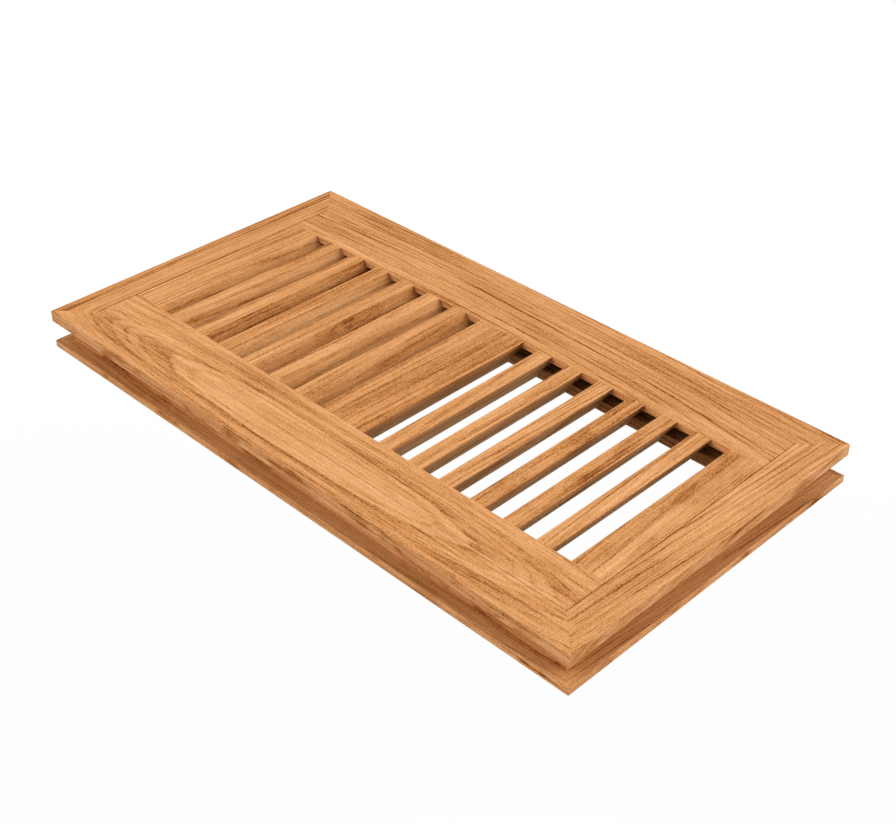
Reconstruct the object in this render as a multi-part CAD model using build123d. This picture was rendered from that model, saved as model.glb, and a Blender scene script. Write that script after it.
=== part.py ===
from build123d import *

import os
from math import radians, tan

# A flush-mount wooden floor register. A mitred frame is set into the floor, level with the boards,
# whose tongues enter the groove round its edge. A louvred insert drops onto a ledge inside the frame.
# Millimetres, +X along the register, +Z up, origin at the centre of the underside.

# Outside of the frame
frame_length = 311.8
frame_width = 168.2
frame_thickness = 19.05

# Section of the frame members
member_face = 15.5
upper_lip = 5.5
lower_lip = 3.5
edge_groove_depth = 6.4
ledge_reach = 8.0
frame_ease = 0.3

# Louvred insert and the gaps that let it drop into the frame
insert_thickness = 14.4
end_gap = 0.2
side_gap = 0.15
stile_face = 20.9
rail_face = 16.0
centre_bar_face = 26.0
insert_ease = 0.2

# Louvres
slats_per_bank = 6
slat_face = 7.7
louvre_tilt = 31.0

# Ploughed groove in the stiles and the tenons that are glued into it
plough_lip = 3.2
plough_height = 5.7
plough_depth = 8.0
tenon_cheek_gap = 0.1
tenon_end_gap = 0.25

# Sizes that follow from the ones above
ledge_height = frame_thickness - insert_thickness
insert_length = frame_length - 2 * (member_face + end_gap)
insert_width = frame_width - 2 * (member_face + side_gap)
slot_length = insert_width - 2 * stile_face
louvre_drift = insert_thickness * tan(radians(louvre_tilt))
bank_length = (insert_length - centre_bar_face) / 2 - rail_face
slot_width = (bank_length - slats_per_bank * slat_face) / (slats_per_bank + 1)
slat_pitch = slat_face + slot_width
tenon_length = plough_depth - tenon_end_gap
tenon_height = plough_height - 2 * tenon_cheek_gap
tenon_base = frame_thickness - plough_lip - plough_height + tenon_cheek_gap


def frame_member(length):
    """A member along X with its outer edge on y = 0, mitred at both ends."""
    depth = member_face + ledge_reach
    groove_top = frame_thickness - upper_lip
    section = Polygon(
        (0, 0),
        (depth, 0),
        (depth, ledge_height),
        (member_face, ledge_height),
        (member_face, frame_thickness),
        (0, frame_thickness),
        (0, groove_top),
        (edge_groove_depth, groove_top),
        (edge_groove_depth, lower_lip),
        (0, lower_lip),
        align=None,
    )
    section = fillet(section.vertices().group_by(Axis.X)[0], frame_ease)
    seam_corner = section.vertices().group_by(Axis.Y)[-1].sort_by(Axis.X)[-1]
    section = fillet(seam_corner, insert_ease)
    bar = extrude(Plane.YZ * section, length / 2, both=True)
    half = length / 2
    plan = Polygon((-half, 0), (half, 0), (half - depth, depth), (depth - half, depth), align=None)
    return bar & extrude(plan, frame_thickness)


def stile():
    """A stile along X with its outer edge on y = 0 and the plough in its inner edge."""
    plough_top = frame_thickness - plough_lip
    plough_base = plough_top - plough_height
    plough_floor = stile_face - plough_depth
    section = Polygon(
        (0, ledge_height),
        (stile_face, ledge_height),
        (stile_face, plough_base),
        (plough_floor, plough_base),
        (plough_floor, plough_top),
        (stile_face, plough_top),
        (stile_face, frame_thickness),
        (0, frame_thickness),
        align=None,
    )
    seam_corner = section.vertices().group_by(Axis.Y)[-1].sort_by(Axis.X)[0]
    section = fillet(seam_corner, insert_ease)
    return extrude(Plane.YZ * section, insert_length / 2, both=True)


def end_outline(top_left, top_right, left_drift, right_drift, low, high):
    """The end outline of a crosspiece between two heights.

    The top corners are at top_left and top_right on the insert's face. The drifts say how far
    the left and right sides have moved along X at the insert's underside.
    """

    def x_at(top_x, drift, height):
        return top_x + drift * (frame_thickness - height) / insert_thickness

    return Polygon(
        (x_at(top_left, left_drift, high), high),
        (x_at(top_left, left_drift, low), low),
        (x_at(top_right, right_drift, low), low),
        (x_at(top_right, right_drift, high), high),
        align=None,
    )


def crosspiece(*sides):
    """A slat, rail or bar between the stiles, with a tenon at each end that fills the plough."""
    outline = end_outline(*sides, ledge_height, frame_thickness)
    outline = fillet(outline.vertices().group_by(Axis.Y)[-1], insert_ease)
    body = extrude(Plane.XZ * outline, slot_length / 2, both=True)
    tenon = end_outline(*sides, tenon_base, tenon_base + tenon_height)
    return body + extrude(Plane.XZ * tenon, slot_length / 2 + tenon_length, both=True)


half_insert = insert_length / 2
half_bar = centre_bar_face / 2

long_member = Pos(0, -frame_width / 2) * frame_member(frame_length)
end_member = Pos(0, -frame_length / 2) * frame_member(frame_width)
front_stile = Pos(0, -insert_width / 2) * stile()

pieces = {
    "frame_front": long_member,
    "frame_back": Rot(Z=180) * long_member,
    "frame_left": Rot(Z=-90) * end_member,
    "frame_right": Rot(Z=90) * end_member,
    "stile_front": front_stile,
    "stile_back": Rot(Z=180) * front_stile,
    "rail_left": crosspiece(-half_insert, rail_face - half_insert, 0, louvre_drift),
    "rail_right": crosspiece(half_insert - rail_face, half_insert, -louvre_drift, 0),
    "centre_bar": crosspiece(-half_bar, half_bar, louvre_drift, -louvre_drift),
}

# The louvres lean towards the centre bar on the way down, so the air fans out from it
for number in range(1, slats_per_bank + 1):
    inner_edge = half_bar + slot_width + (number - 1) * slat_pitch
    outer_edge = inner_edge + slat_face
    pieces[f"slat_left_{number}"] = crosspiece(-outer_edge, -inner_edge, louvre_drift, louvre_drift)
    pieces[f"slat_right_{number}"] = crosspiece(inner_edge, outer_edge, -louvre_drift, -louvre_drift)

os.makedirs("parts", exist_ok=True)
for name, piece in pieces.items():
    export_step(piece, f"parts/{name}.step")

print(f"insert {insert_length:.1f} x {insert_width:.1f} x {insert_thickness:.1f}")
print(f"slots {slot_length:.1f} x {slot_width:.2f}, louvre drift {louvre_drift:.2f}")
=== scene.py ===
# %% [markdown]
# # An oak floor register
#
# A flush-mount floor register is a wooden grille that is laid level with the floor boards. A mitred
# frame takes the boards' tongues in the groove round its edge, and an insert of tilted louvres drops
# into it. The shapes come finished from the CAD model, so this lesson is about oak: how growth rings,
# pores and finish are built up in shader nodes, and how one recipe gives every board its own figure.

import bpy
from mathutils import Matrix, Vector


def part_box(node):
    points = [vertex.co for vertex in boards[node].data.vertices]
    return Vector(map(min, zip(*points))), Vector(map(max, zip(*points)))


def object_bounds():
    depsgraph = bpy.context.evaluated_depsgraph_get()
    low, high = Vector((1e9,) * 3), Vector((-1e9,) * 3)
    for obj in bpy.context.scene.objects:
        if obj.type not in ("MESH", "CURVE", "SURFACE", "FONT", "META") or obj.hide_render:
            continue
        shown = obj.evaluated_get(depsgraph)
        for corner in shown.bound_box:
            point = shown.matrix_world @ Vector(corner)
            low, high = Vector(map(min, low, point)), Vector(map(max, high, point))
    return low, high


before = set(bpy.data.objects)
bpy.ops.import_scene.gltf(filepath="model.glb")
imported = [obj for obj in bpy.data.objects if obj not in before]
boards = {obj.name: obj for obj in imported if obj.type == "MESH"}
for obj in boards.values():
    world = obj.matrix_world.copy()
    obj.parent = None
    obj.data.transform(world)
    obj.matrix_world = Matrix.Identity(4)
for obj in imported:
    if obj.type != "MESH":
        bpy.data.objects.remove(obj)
cad_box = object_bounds()
print("boards in the frame:", len(boards))

# %% [markdown]
# ## Writing node formulas
#
# A procedural material is a formula over the surface, and each step of it is a node. Wiring the nodes
# one call at a time hides the formula, so a small class lets sockets take part in ordinary arithmetic:
# every operator adds its Math nodes to the tree.

# %% Formulas that become nodes
import bpy


def add_node(tree, kind, feeds=None, **settings):
    """Add a node. A feed that is a socket or a reading is linked, any other is set as a value."""
    node = tree.nodes.new(kind)
    for name, value in settings.items():
        setattr(node, name, value)
    for key, value in (feeds or {}).items():
        if isinstance(value, Reading):
            value = value.socket
        if isinstance(value, bpy.types.NodeSocket):
            tree.links.new(value, node.inputs[key])
        else:
            node.inputs[key].default_value = value
    return node


class Reading:
    """A number that varies over the surface. Arithmetic on it adds Math nodes to its tree."""

    def __init__(self, tree, socket):
        self.tree = tree
        self.socket = socket

    def step(self, operation, *others):
        """One Math node, fed by this reading and the others."""
        feeds = dict(enumerate((self, *others)))
        node = add_node(self.tree, "ShaderNodeMath", feeds, operation=operation)
        return Reading(self.tree, node.outputs[0])

    def __add__(self, other):
        return self.step("ADD", other)

    __radd__ = __add__

    def __sub__(self, other):
        return self.step("SUBTRACT", other)

    def __rsub__(self, other):
        return self * -1.0 + other

    def __mul__(self, other):
        return self.step("MULTIPLY", other)

    def __truediv__(self, other):
        return self.step("DIVIDE", other)

    def rise(self, low, high, bottom=0.0, top=1.0):
        """A smooth rise from bottom to top as the reading goes from low to high."""
        feeds = {"Value": self, "From Min": low, "From Max": high, "To Min": bottom, "To Max": top}
        node = add_node(self.tree, "ShaderNodeMapRange", feeds, interpolation_type="SMOOTHSTEP")
        return Reading(self.tree, node.outputs[0])

    def fall(self, low, high):
        """A smooth fall from 1 to 0 as the reading goes from low to high."""
        return self.rise(low, high, bottom=1.0, top=0.0)

    def between(self, low, high, edge):
        """1 from low to high, and 0 beyond a soft edge on either side."""
        return self.rise(low - edge, low) * self.fall(high, high + edge)


print("formula helpers ready")

# %% [markdown]
# ## Node groups
#
# An effect that several materials share is built once, as a node group with named sockets. The next
# helpers open a group, close it, and place it in a material with values of that material's own. The
# last one makes the noise that all of oak's grain is built from.

# %% Opening and placing node groups
def open_group(name, inputs, outputs):
    """A new node group. Returns its tree, its inputs as readings or sockets, and its output node."""
    tree = bpy.data.node_groups.new(name, "ShaderNodeTree")
    for label, kind in inputs.items():
        tree.interface.new_socket(label, in_out="INPUT", socket_type=f"NodeSocket{kind}")
    for label, kind in outputs.items():
        tree.interface.new_socket(label, in_out="OUTPUT", socket_type=f"NodeSocket{kind}")
    sockets = tree.nodes.new("NodeGroupInput").outputs
    given = {
        label: Reading(tree, sockets[label]) if kind == "Float" else sockets[label]
        for label, kind in inputs.items()
    }
    return tree, given, tree.nodes.new("NodeGroupOutput")


def close_group(tree, result, readings):
    """Link the finished readings to the group's outputs."""
    for label, reading in readings.items():
        socket = reading.socket if isinstance(reading, Reading) else reading
        tree.links.new(socket, result.inputs[label])
    print("node group:", tree.name, "with", len(tree.nodes), "nodes")
    return tree


def place_group(tree, group, feeds):
    """Place a node group with these inputs. Returns its output sockets."""
    return add_node(tree, "ShaderNodeGroup", feeds, node_tree=group).outputs


def streaks(tree, point, seed, layer, along, across, detail=2.0):
    """Noise round zero, stretched along the grain: about this many millimetres long and wide.

    Every layer of a board's noise has a number, which is added to the board's seed.
    """
    scale = (1 / along, 1 / across, 1 / across)
    squeezed = add_node(tree, "ShaderNodeVectorMath", {0: point, 1: scale}, operation="MULTIPLY")
    feeds = {"Vector": squeezed.outputs[0], "W": seed + layer, "Scale": 1.0, "Detail": detail}
    noise = add_node(tree, "ShaderNodeTexNoise", feeds, noise_dimensions="4D")
    return Reading(tree, noise.outputs[0]) - 0.5


print("group helpers ready")

# %% [markdown]
# ## Growth rings
#
# A board's figure is the cut that the saw made through the tree's growth rings. Stretched noise alone
# would give streaks, but no ovals and arches. So the rings are made as nested tubes round the heart of
# a log, and each board is a place in such a log: near the heart the cut shows long ovals and arches, and
# further out it shows straight lines. The log bows, which closes the arches into ovals, and slow noise
# lets the rings waver. Each year opens with a band of large pores, the early wood, which is the dark
# line that the eye follows. Finer lines lie between.

# %% Node group: growth rings
# How far the noise moves a ring, in millimetres
slow_sway = 2.0
quick_sway = 1.4
shaky_sway = 0.35

# The bow is the millimetres that the heart moves away over this length
bow_span = 100.0

# Good and bad years: how soon the luck turns, and by how many years the ring count runs ahead
luck_pace = 0.4
luck_reach = 1.5

# The finer lines: how many there are in a year, and the step to a seed of their own
late_lines_in_a_year = 3.3
late_seed_step = 50.0


def yearly_band(years, seed, opens_by, ends_by):
    """A dark band at the start of each year, and a random luck from 0 to 1 for every year."""
    phase = years.step("FRACT")
    year_number = years.step("FLOOR") + seed
    chance = add_node(years.tree, "ShaderNodeTexWhiteNoise", {"W": year_number}, noise_dimensions="1D")
    band = phase.rise(0.0, opens_by) * phase.fall(opens_by, ends_by)
    return band, Reading(years.tree, chance.outputs["Value"])


def growth_rings_group():
    inputs = {"Log Point": "Vector", "Bow": "Float", "Ring Gap": "Float", "Waver": "Float", "Seed": "Float"}
    outputs = {"Early Wood": "Float", "Late Lines": "Float"}
    tree, given, result = open_group("growth rings", inputs, outputs)
    point, seed = given["Log Point"], given["Seed"]
    axes = add_node(tree, "ShaderNodeSeparateXYZ", {0: point}).outputs
    along, across, depth = (Reading(tree, axes[axis]) for axis in "XYZ")

    bowed = depth + along * along * given["Bow"] / bow_span ** 2
    radius = (across * across + bowed * bowed).step("SQRT")
    slow = streaks(tree, point, seed, layer=0, along=110.0, across=26.0)
    quick = streaks(tree, point, seed, layer=3, along=24.0, across=7.0)
    shaky = streaks(tree, point, seed, layer=5, along=4.0, across=1.6)
    waver = (slow * slow_sway + quick * quick_sway) * given["Waver"]
    years = (radius + waver + shaky * shaky_sway) / given["Ring Gap"]

    feeds = {"W": years * luck_pace + seed, "Scale": 1.0}
    luck_run = add_node(tree, "ShaderNodeTexNoise", feeds, noise_dimensions="1D")
    years = years + (Reading(tree, luck_run.outputs[0]) - 0.5) * luck_reach

    band, luck = yearly_band(years, seed, opens_by=0.14, ends_by=0.55)
    broken = streaks(tree, point, seed, layer=7, along=30.0, across=1.6).rise(-0.14, 0.10, bottom=0.45)
    early = band * broken * luck.rise(0.0, 1.0, bottom=0.45)
    late_lines = years * late_lines_in_a_year
    band, luck = yearly_band(late_lines, seed + late_seed_step, opens_by=0.15, ends_by=0.6)
    broken = streaks(tree, point, seed, layer=9, along=30.0, across=0.9).rise(-0.12, 0.10, bottom=0.3)
    late = band * broken * luck.rise(0.0, 1.0, bottom=0.1)
    return close_group(tree, result, {"Early Wood": early, "Late Lines": late})


growth_rings = growth_rings_group()

# %% [markdown]
# ## Pores and fibres
#
# Close to, oak is full of short dark dashes: the open ends of its vessels, cut at a slant. They crowd
# together in the early wood and thin out after it. Between them run fibres, paler and darker by turns:
# long strands, shorter flecks and tiny specks. There are far too many to model one by one, so each kind
# is a layer of noise that is stretched along the grain.

# %% Node group: pores and fibres
pores_after_early_wood = 0.3
strand_strength = 0.9
fleck_strength = 0.5
speck_strength = 0.9


def pores_group():
    inputs = {"Log Point": "Vector", "Early Wood": "Float", "Seed": "Float"}
    outputs = {"Pores": "Float", "Fibres": "Float"}
    tree, given, result = open_group("oak pores", inputs, outputs)
    point, seed = given["Log Point"], given["Seed"]
    dashes = streaks(tree, point, seed, layer=0, along=3.0, across=0.35, detail=1.0).rise(0.02, 0.18)
    crowding = given["Early Wood"] * (1.0 - pores_after_early_wood) + pores_after_early_wood
    strands = streaks(tree, point, seed, layer=11, along=60.0, across=1.0)
    flecks = streaks(tree, point, seed, layer=12, along=8.0, across=0.8)
    specks = streaks(tree, point, seed, layer=13, along=0.7, across=0.6, detail=1.0)
    fibres = strands * strand_strength + flecks * fleck_strength + specks * speck_strength
    return close_group(tree, result, {"Pores": dashes * crowding, "Fibres": fibres})


oak_pores = pores_group()

# %% [markdown]
# ## The colours of oiled oak
#
# Under oil, oak runs from straw through honey to brown, and the darker it is the redder it looks. Mixing
# one pale and one dark brown would give dull shades between, so a ramp holds the whole run of colours.
# Three tints of painted light shift it: the side faces get a warm painted shade, the undersides are
# painted greyer and lighter for the white light that the floor sends up, and the groove gets a darker,
# redder painted shade.

# %% Colours and tints
def from_screen(red, green, blue):
    """A screen colour, 0 to 255, as the linear colour that a shader takes, by the sRGB formula."""
    shares = [channel / 255.0 for channel in (red, green, blue)]
    linear = [c / 12.92 if c <= 0.04045 else ((c + 0.055) / 1.055) ** 2.4 for c in shares]
    return (*linear, 1.0)


# Darkness and colour, from the palest to the deepest
oak_ramp = (
    (-0.30, from_screen(253, 196, 139)),
    (0.00, from_screen(240, 177, 119)),
    (0.25, from_screen(227, 162, 103)),
    (0.50, from_screen(213, 148, 89)),
    (0.75, from_screen(188, 122, 62)),
    (1.00, from_screen(152, 87, 37)),
    (1.25, from_screen(98, 53, 19)),
)
palest = oak_ramp[0][0]
deepest = oak_ramp[-1][0]
# Painted light: a warm painted shade for side faces, a greyer, lighter painted light for undersides, and a
# darker, redder painted shade for the groove
side_shade_tint = (1.0, 0.92, 0.86, 1.0)
underside_light_tint = (1.0, 1.3, 1.56, 1.0)
groove_shade_tint = (0.98, 0.89, 0.84, 1.0)


def ramp_place(darkness):
    """Where a darkness falls on the ramp, from 0 for the palest to 1 for the deepest."""
    return (darkness - palest) / (deepest - palest)


print("oak ramp with", len(oak_ramp), "colours")

# %% [markdown]
# ## One reading for the darkness
#
# Each part of the figure could be mixed in with a colour of its own. Here the parts are added up to one
# reading instead, the darkness, which picks a colour from the ramp, so all the wood keeps to one family
# of colours. Some boards have brown clouds in them, and side faces have stains of the same kind. A side
# tone paints the side faces lighter or darker than the top, partly painted light and partly the board's
# own tone. The eased edges between face and side are rubbed a little paler. How far a face looks up,
# from 1 for the top to -1 for the underside, tells these places apart. The darker streaks are also more
# open, so the same readings make the gloss and the tiny relief.

# %% Node group: oiled oak
# How much each part adds to the darkness
early_depth = 1.2
late_depth = 1.1
fibre_depth = 1.3
pore_depth = 0.25
broad_depth = 1.1
stain_depth = 0.6
stain_contrast = 0.25
eased_paler = 0.1

# How much each part adds to the roughness, and to the height of the relief
face_roughness = 0.55
early_roughness = 0.10
pore_roughness = 0.14
fibre_roughness = 0.10
sawn_roughness = 0.30
fibre_relief = 0.35
early_relief = -0.25
pore_relief = -0.60


def oiled_oak_group():
    readings = (
        "Early Wood", "Late Lines", "Pores", "Fibres", "Tone", "Lines", "Clouds",
        "Side Tone", "Side Stains", "Seam Shade", "Groove", "Seed",
    )
    inputs = {"Log Point": "Vector", **{label: "Float" for label in readings}}
    outputs = {"Colour": "Color", "Roughness": "Float", "Height": "Float"}
    tree, given, result = open_group("oiled oak", inputs, outputs)
    point, seed = given["Log Point"], given["Seed"]
    early, late, pores, fibres = (given[label] for label in readings[:4])
    facing = add_node(tree, "ShaderNodeNewGeometry").outputs["Normal"]
    upward = Reading(tree, add_node(tree, "ShaderNodeSeparateXYZ", {0: facing}).outputs["Z"])
    # Side faces carry stains, roughness, a side tone that is partly painted light, and a warm painted
    # shade; undersides carry a greyer painted light
    side_faces = upward.fall(0.55, 0.65)
    underside = upward.fall(-0.4, -0.2)
    eased = upward.rise(0.60, 0.72) * upward.fall(0.92, 0.99)

    broad = streaks(tree, point, seed, layer=17, along=70.0, across=9.0)
    clouds = streaks(tree, point, seed, layer=23, along=18.0, across=7.0, detail=3.0).rise(-0.02, 0.14)
    stained = side_faces * given["Side Stains"]
    figure = (early * early_depth + late * late_depth) * given["Lines"] + fibres * fibre_depth
    # The seam shade is painted shade along the insert's end seams
    darkness = given["Tone"] + broad * broad_depth + pores * pore_depth + given["Seam Shade"]
    darkness = darkness + figure * (1.0 + stained * stain_contrast)
    darkness = darkness + clouds * (given["Clouds"] + stained * stain_depth)
    # The side tone paints side faces lighter or darker than the top: partly painted light, partly the
    # board's own tone
    darkness = darkness + side_faces * given["Side Tone"] - eased * eased_paler

    ramp = add_node(tree, "ShaderNodeValToRGB", {"Fac": ramp_place(darkness)})
    stops = ramp.color_ramp.elements

    # A new ramp has its two end stops already
    for place, _ in oak_ramp[1:-1]:
        stops.new(ramp_place(place))
    for stop, (place, shade) in zip(stops, oak_ramp):
        stop.position = ramp_place(place)
        stop.color = shade
    colour = ramp.outputs["Color"]
    # Painted light by facing and place: a warm painted shade on side faces, a greyer painted light on
    # undersides, a darker, redder painted shade in the groove
    for faces, tint in ((side_faces, side_shade_tint), (underside, underside_light_tint), (given["Groove"], groove_shade_tint)):
        feeds = {"Factor": faces, "A": colour, "B": tint}
        mix = add_node(tree, "ShaderNodeMix", feeds, data_type="RGBA", blend_type="MULTIPLY")
        colour = mix.outputs["Result"]

    roughness = face_roughness + early * early_roughness + pores * pore_roughness
    roughness = roughness + fibres * fibre_roughness + side_faces * sawn_roughness
    height = fibres * fibre_relief + early * early_relief + pores * pore_relief
    return close_group(tree, result, {"Colour": colour, "Roughness": roughness, "Height": height})


oiled_oak = oiled_oak_group()

# %% [markdown]
# ## Painted shade in the seams and the groove
#
# The insert lifts out, so it has a hair of play in the frame. The seams at the two ends, where the
# insert's end grain meets the frame, get a line of painted shade, which draws them darker than the joints
# that are glued. The groove round the frame gets a darker, redder painted shade in its recess. Both are
# places on the register, so they are masked by its coordinates, and the places themselves are measured
# on the frame.

# %% Node group: seams and groove
millimetres_per_metre = 1000.0

# The insert's play at its ends and sides, in millimetres, and the painted shade along its end seams
end_play = 0.2
side_play = 0.15
seam_edge = 0.3
seam_darkness = 0.4

# The lips above and below the groove, and how far in from the frame's outside the groove is looked for
upper_lip = 5.5
lower_lip = 3.5
groove_reach = 7.0
groove_edge = 0.2


def places_group():
    outputs = {"Seam Shade": "Float", "Groove": "Float"}
    tree, given, result = open_group("seams and groove", {"Point": "Vector"}, outputs)
    axes = add_node(tree, "ShaderNodeSeparateXYZ", {0: given["Point"]}).outputs
    along, across = (Reading(tree, axes[axis]).step("ABSOLUTE") * millimetres_per_metre for axis in "XY")
    height = Reading(tree, axes["Z"]) * millimetres_per_metre

    insert_end, insert_side, _ = (reach * millimetres_per_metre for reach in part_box("stile_back")[1])
    opening_side = insert_side + side_play
    # Painted shade along the seams at the insert's two ends
    seam = along.between(insert_end, insert_end + end_play, seam_edge)
    seam = seam * across.fall(opening_side, opening_side + seam_edge)

    frame_end, frame_side, face_height = (reach * millimetres_per_metre for reach in cad_box[1])
    # The groove's recess, which gets a darker, redder painted shade
    near_end = along.rise(frame_end - groove_reach, frame_end - groove_reach + groove_edge)
    near_side = across.rise(frame_side - groove_reach, frame_side - groove_reach + groove_edge)
    between_lips = height.between(lower_lip, face_height - upper_lip, groove_edge)
    groove = near_end.step("MAXIMUM", near_side) * between_lips
    return close_group(tree, result, {"Seam Shade": seam * seam_darkness, "Groove": groove})


seams_and_groove = places_group()

# %% [markdown]
# ## Cutting a board from a log
#
# Every board could be given a finish of its own by hand, but oak differs from board to board mostly by
# where it grew. So one recipe makes all the materials, and each holds its board's place in the log: where
# the heart lies, how far the grain leans, how fast the tree grew. Object coordinates are the register's
# own metres, so a Mapping node turns them into millimetres in the log, with X along the heart.

# %% The material of one board
import math

from mathutils import Euler, Vector

# The relief's depth in metres, and how strongly the relief and the oil's sheen show
relief_depth = 0.00012
relief_strength = 0.35
oil_sheen = 0.1


def oak_board(name, along, heart, lean, bow, ring_gap, tone, lines, seed,
              dive=0.0, waver=1.0, clouds=0.0, side_tone=-0.32, side_stains=1.0):
    """The oak of one board, whose grain runs along the X or Y axis.

    The heart is a point on the log's centre line, in millimetres. Lean turns the grain in the
    board's face and dive tips it into the board, both in degrees. Tone is the darkness of the face,
    and side_tone is what a side face adds to it, partly painted light and partly the board's own
    tone. Lines, clouds and side_stains are strengths.
    """
    material = bpy.data.materials.new(name)
    material.use_nodes = True
    tree = material.node_tree
    tree.nodes.clear()
    quarter_turn = {"x": 0.0, "y": -90.0}[along]
    turn = Euler((0.0, math.radians(dive), math.radians(quarter_turn - lean)))
    metres = add_node(tree, "ShaderNodeTexCoord").outputs["Object"]
    point = add_node(tree, "ShaderNodeMapping", {
        "Vector": metres,
        "Scale": (millimetres_per_metre,) * 3,
        "Rotation": turn,
        "Location": -(turn.to_matrix() @ Vector(heart)),
    }).outputs[0]
    rings = place_group(tree, growth_rings, {
        "Log Point": point, "Bow": bow, "Ring Gap": ring_gap, "Waver": waver, "Seed": seed,
    })
    grain = place_group(tree, oak_pores, {
        "Log Point": point, "Early Wood": rings["Early Wood"], "Seed": seed,
    })
    places = place_group(tree, seams_and_groove, {"Point": metres})
    finish = place_group(tree, oiled_oak, {
        "Log Point": point,
        "Early Wood": rings["Early Wood"],
        "Late Lines": rings["Late Lines"],
        "Pores": grain["Pores"],
        "Fibres": grain["Fibres"],
        "Tone": tone,
        "Lines": lines,
        "Clouds": clouds,
        "Side Tone": side_tone,
        "Side Stains": side_stains,
        "Seam Shade": places["Seam Shade"],
        "Groove": places["Groove"],
        "Seed": seed,
    })
    relief = add_node(tree, "ShaderNodeBump", {
        "Height": finish["Height"], "Strength": relief_strength, "Distance": relief_depth,
    })
    wood = add_node(tree, "ShaderNodeBsdfPrincipled", {
        "Base Color": finish["Colour"],
        "Roughness": finish["Roughness"],
        "Normal": relief.outputs["Normal"],
        "Specular IOR Level": oil_sheen,
    })
    add_node(tree, "ShaderNodeOutputMaterial", {"Surface": wood.outputs[0]})
    return material


def finish_board(node_name, material):
    """Give a CAD board its oak."""
    slots = boards[node_name].data.materials
    slots.clear()
    slots.append(material)


print("board recipe ready")

# %% [markdown]
# ## The frame and the stiles
#
# The front frame member and the front stile were cut side by side from one flat-sawn plank, so a single
# long oval runs across the joint between them. The back pair is a straighter cut, and the end members
# have fine lines along their own length, which is all that shows the mitres.

# %% Oak for the frame and the stiles
# side_tone paints the side faces lighter than the top: partly painted light, partly the plank's own tone
front_plank = dict(
    along="x", heart=(2.4, -68.0, -8.4), lean=0.5, bow=2.1, ring_gap=2.2, waver=0.4,
    lines=0.38, side_tone=-0.36, seed=215.0)
back_plank = dict(
    along="x", heart=(-19.0, 10.3, -47.4), lean=-0.9, bow=3.2, ring_gap=2.2, waver=0.8,
    tone=0.35, lines=0.45, side_tone=-0.26, side_stains=0.3, seed=427.0)

finish_board("frame_front", oak_board("oak frame front", tone=0.27, **front_plank))
finish_board("stile_front", oak_board("oak stile front", tone=0.23, **front_plank))
finish_board("frame_back", oak_board("oak frame back", **back_plank))
finish_board("stile_back", oak_board("oak stile back", **back_plank))
finish_board("frame_left", oak_board(
    "oak frame left", "y", (-50.5, 0.0, -13.9), lean=-0.1, bow=1.0, ring_gap=3.5, waver=0.8,
    tone=0.35, lines=0.58, side_stains=0.4, seed=310.0))
finish_board("frame_right", oak_board(
    "oak frame right", "y", (50.3, 0.0, -10.8), lean=-3.4, bow=2.5, ring_gap=2.9, waver=1.2,
    tone=0.18, lines=0.48, side_stains=0.7, seed=452.0))
print("frame and stiles finished")

# %% [markdown]
# ## The rails and the centre bar
#
# The short pieces between the stiles come from straight-grained offcuts. The right rail has brown clouds
# in it, and the centre bar is the darkest of the three. Their sides, like the louvres', are planed clean
# and show few stains.

# %% Oak for the rails and the centre bar
# Few stains on the sides, and a side tone that paints them lighter than the top: partly painted light,
# partly the wood's own tone
planed_sides = dict(side_tone=-0.20, side_stains=0.2)

finish_board("rail_left", oak_board(
    "oak rail left", "y", (-208.1, 0.0, -19.2), lean=-0.9, bow=1.0, ring_gap=2.6,
    tone=0.30, lines=0.5, seed=504.0, **planed_sides))
finish_board("rail_right", oak_board(
    "oak rail right", "y", (171.7, -2.7, -12.0), lean=2.3, bow=2.9, ring_gap=4.3,
    tone=0.32, lines=0.3, clouds=0.2, seed=733.0, **planed_sides))
finish_board("centre_bar", oak_board(
    "oak centre bar", "y", (-48.1, 0.0, -8.8), lean=-0.8, bow=1.0, ring_gap=3.2, waver=1.4,
    tone=0.50, lines=0.26, seed=728.0, **planed_sides))
print("rails and centre bar finished")

# %% [markdown]
# ## The louvres
#
# Each louvre is given the number of its offcut. The number seeds the draw of its place in the log, so
# that no two are alike and every run gives the same grille. Some are paler and some darker, and two have
# brown clouds.

# %% Oak for the louvres
import random

# Offcuts, and the darkness of faces, lines, side faces and clouds, from the centre bar outwards. The side
# faces' darkness is partly painted light and partly the louvre's own tone.
louvre_oak = {
    "left": {
        "offcut": (901, 3702, 5203, 2904, 4205, 1206),
        "tone": (0.35, 0.30, 0.30, 0.49, 0.33, 0.34),
        "lines": (0.18, 0.32, 0.50, 0.42, 0.48, 0.60),
        "side_tone": (-0.13, -0.27, 0.06, -0.38, 0.08, -0.36),
    },
    "right": {
        "offcut": (18311, 1012, 16113, 4214, 2615, 416),
        "tone": (0.14, 0.24, 0.25, 0.47, 0.29, 0.30),
        "lines": (0.46, 0.45, 0.50, 0.36, 0.28, 0.50),
        "clouds": (0.0, 0.0, 0.0, 0.25, 0.20, 0.0),
    },
}


def offcut_place(offcut, middle_x):
    """Where in a log a louvre was cut, drawn by the offcut's number."""
    draw = random.Random(offcut)
    side = draw.choice((-1, 1))
    heart = (
        middle_x + side * draw.uniform(15.0, 60.0),
        draw.uniform(-60.0, 60.0),
        draw.uniform(-40.0, 0.0),
    )
    return dict(
        heart=heart,
        lean=draw.uniform(-2.5, 2.5),
        dive=draw.uniform(-2.0, 2.0),
        bow=draw.uniform(-2.0, 3.0),
        ring_gap=draw.uniform(2.2, 3.4),
        seed=draw.uniform(20.0, 90.0),
    )


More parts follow.
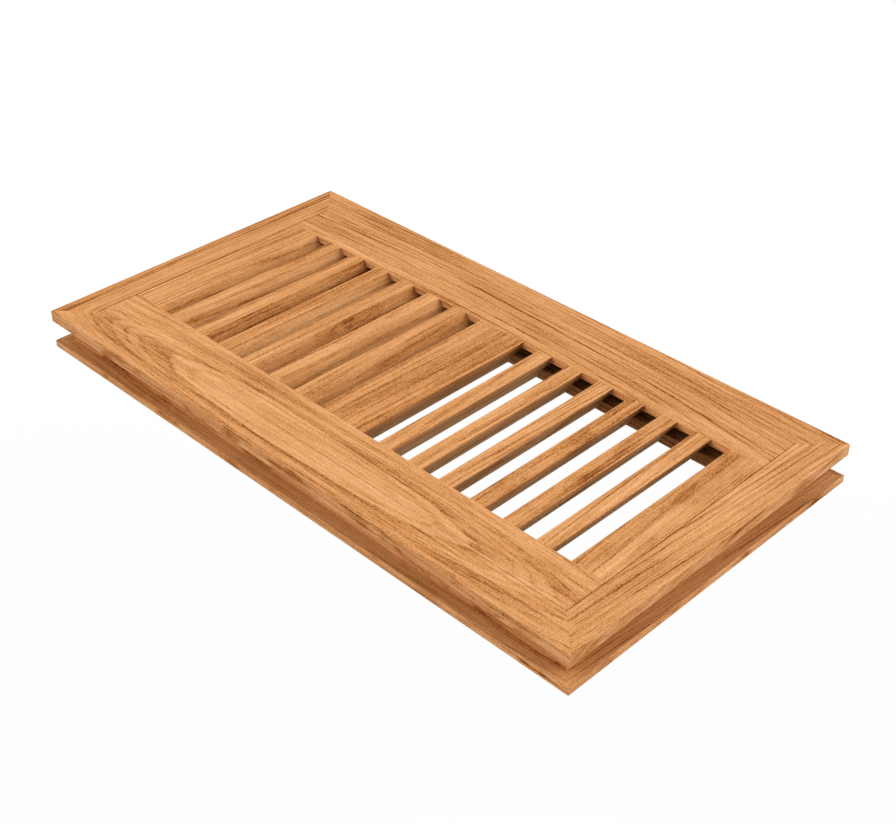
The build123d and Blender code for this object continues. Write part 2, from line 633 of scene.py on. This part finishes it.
for bank, finishes in louvre_oak.items():
    for number, settings in enumerate(zip(*finishes.values()), start=1):
        name = f"slat_{bank}_{number}"
        low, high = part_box(name)
        middle_x = (low[0] + high[0]) / 2 * millimetres_per_metre
        finish = {**planed_sides, **dict(zip(finishes, settings))}
        log_place = offcut_place(finish.pop("offcut"), middle_x)
        finish_board(name, oak_board(f"oak {name}", "y", **log_place, **finish))
    print("louvres finished in the", bank, "bank:", number)

# %% [markdown]
# ## The floor
#
# The register is pictured on plain white. The floor lies a hand's breadth below it and sends a little
# light back up through the slots. A floor that is only lit would come out grey, so for the camera it
# glows white, and a twentieth of that white is lit by the studio, which keeps a breath of shadow.

# %% Floor
white = (1.0, 1.0, 1.0, 1.0)
floor_grey = (0.32, 0.32, 0.32, 1.0)
floor_glow = 0.95

# In metres
floor_drop = 0.12
floor_half = 4.0


def background_rays(tree):
    """1 for the rays that see the background: from the camera, a gloss or a clear material."""
    rays = add_node(tree, "ShaderNodeLightPath").outputs
    seen = Reading(tree, rays["Is Camera Ray"])
    for kind in ("Is Glossy Ray", "Is Transmission Ray"):
        seen = seen.step("MAXIMUM", rays[kind])
    return seen


def floor_material():
    material = bpy.data.materials.new("white studio floor")
    material.use_nodes = True
    tree = material.node_tree
    tree.nodes.clear()
    bounce = add_node(tree, "ShaderNodeBsdfDiffuse", {"Color": floor_grey})
    lit = add_node(tree, "ShaderNodeBsdfDiffuse", {"Color": white})
    glow = add_node(tree, "ShaderNodeEmission", {"Color": white, "Strength": 1.0})
    seen = add_node(tree, "ShaderNodeMixShader", {0: floor_glow, 1: lit.outputs[0], 2: glow.outputs[0]})
    feeds = {0: background_rays(tree), 1: bounce.outputs[0], 2: seen.outputs[0]}
    mix = add_node(tree, "ShaderNodeMixShader", feeds)
    add_node(tree, "ShaderNodeOutputMaterial", {"Surface": mix.outputs[0]})
    return material


signs = ((-1, -1), (1, -1), (1, 1), (-1, 1))
corners = [(x * floor_half, y * floor_half, -floor_drop) for x, y in signs]
floor_mesh = bpy.data.meshes.new("studio_floor")
floor_mesh.from_pydata(corners, [], [(0, 1, 2, 3)])
floor_mesh.materials.append(floor_material())
floor = bpy.data.objects.new("studio_floor", floor_mesh)
bpy.context.scene.collection.objects.link(floor)
print("floor laid", floor_drop, "m below the register")

# %% [markdown]
# ## Softboxes
#
# Two large softboxes light the register, one from the front left and one from the back right, with low
# ones behind and in front that reach under the lips. They could be area lamps. Painted on the world as
# soft round glows, they have no hard rims and stand nowhere in the view, and rays that see the background
# find it white.

# %% Softboxes
# Bearing counted from +X towards +Y, height above the floor, both in degrees, and strength
softboxes = (
    (225.0, 40.0, 4.1),
    (45.0, 40.0, 2.7),
    (45.0, 10.0, 2.95),
    (90.0, 10.0, 3.1),
    (270.0, 10.0, 1.15),
)

# The higher this power is, the smaller the glows are
softbox_tightness = 10.0

world = bpy.data.worlds.new("white studio")
world.use_nodes = True
bpy.context.scene.world = world
sky = world.node_tree
sky.nodes.clear()
direction = add_node(sky, "ShaderNodeTexCoord").outputs["Generated"]
light = 0.0
for bearing, height, strength in softboxes:
    aim = Vector((1.0, 0.0, 0.0))
    aim.rotate(Euler((0.0, -math.radians(height), math.radians(bearing))))
    facing = add_node(sky, "ShaderNodeVectorMath", {0: direction, 1: aim}, operation="DOT_PRODUCT")
    glow = Reading(sky, facing.outputs["Value"]).step("MAXIMUM", 0.0).step("POWER", softbox_tightness)
    light = light + glow * strength

# Rays that see the background find plain white, and all others find the softboxes
level = light + background_rays(sky) * (1.0 - light)
backdrop = add_node(sky, "ShaderNodeBackground", {"Color": white, "Strength": level})
add_node(sky, "ShaderNodeOutputWorld", {"Surface": backdrop.outputs[0]})

# Light that goes from board to board only once keeps the slots from filling with orange
bpy.context.scene.cycles.diffuse_bounces = 1
print("studio ready,", len(softboxes), "softboxes")

# %% [markdown]
# ## Camera
#
# The photograph looks down on a corner from the front right. The view is given as a product shot would
# be set up: a point on the register's face to look at, an angle, a height, a distance and a lens.

# %% Camera
face_height = cad_box[1][2]
view_target = Vector((0.02717, -0.01326, face_height))
view_azimuth = math.radians(44.99)
view_elevation = math.radians(35.22)
view_distance = 0.6214
focal_length = 60.98
sensor_width = 36.0

towards_camera = Vector((
    math.sin(view_azimuth) * math.cos(view_elevation),
    -math.cos(view_azimuth) * math.cos(view_elevation),
    math.sin(view_elevation),
))
lens = bpy.data.cameras.new("product_camera")
lens.sensor_fit = "HORIZONTAL"
lens.sensor_width = sensor_width
lens.lens = focal_length
camera = bpy.data.objects.new("product_camera", lens)
camera.location = view_target + towards_camera * view_distance
camera.rotation_euler = (-towards_camera).to_track_quat("-Z", "Y").to_euler()
bpy.context.scene.collection.objects.link(camera)
bpy.context.scene.camera = camera
bpy.context.scene.view_settings.view_transform = "Standard"
print("camera at", [round(value, 4) for value in camera.location])
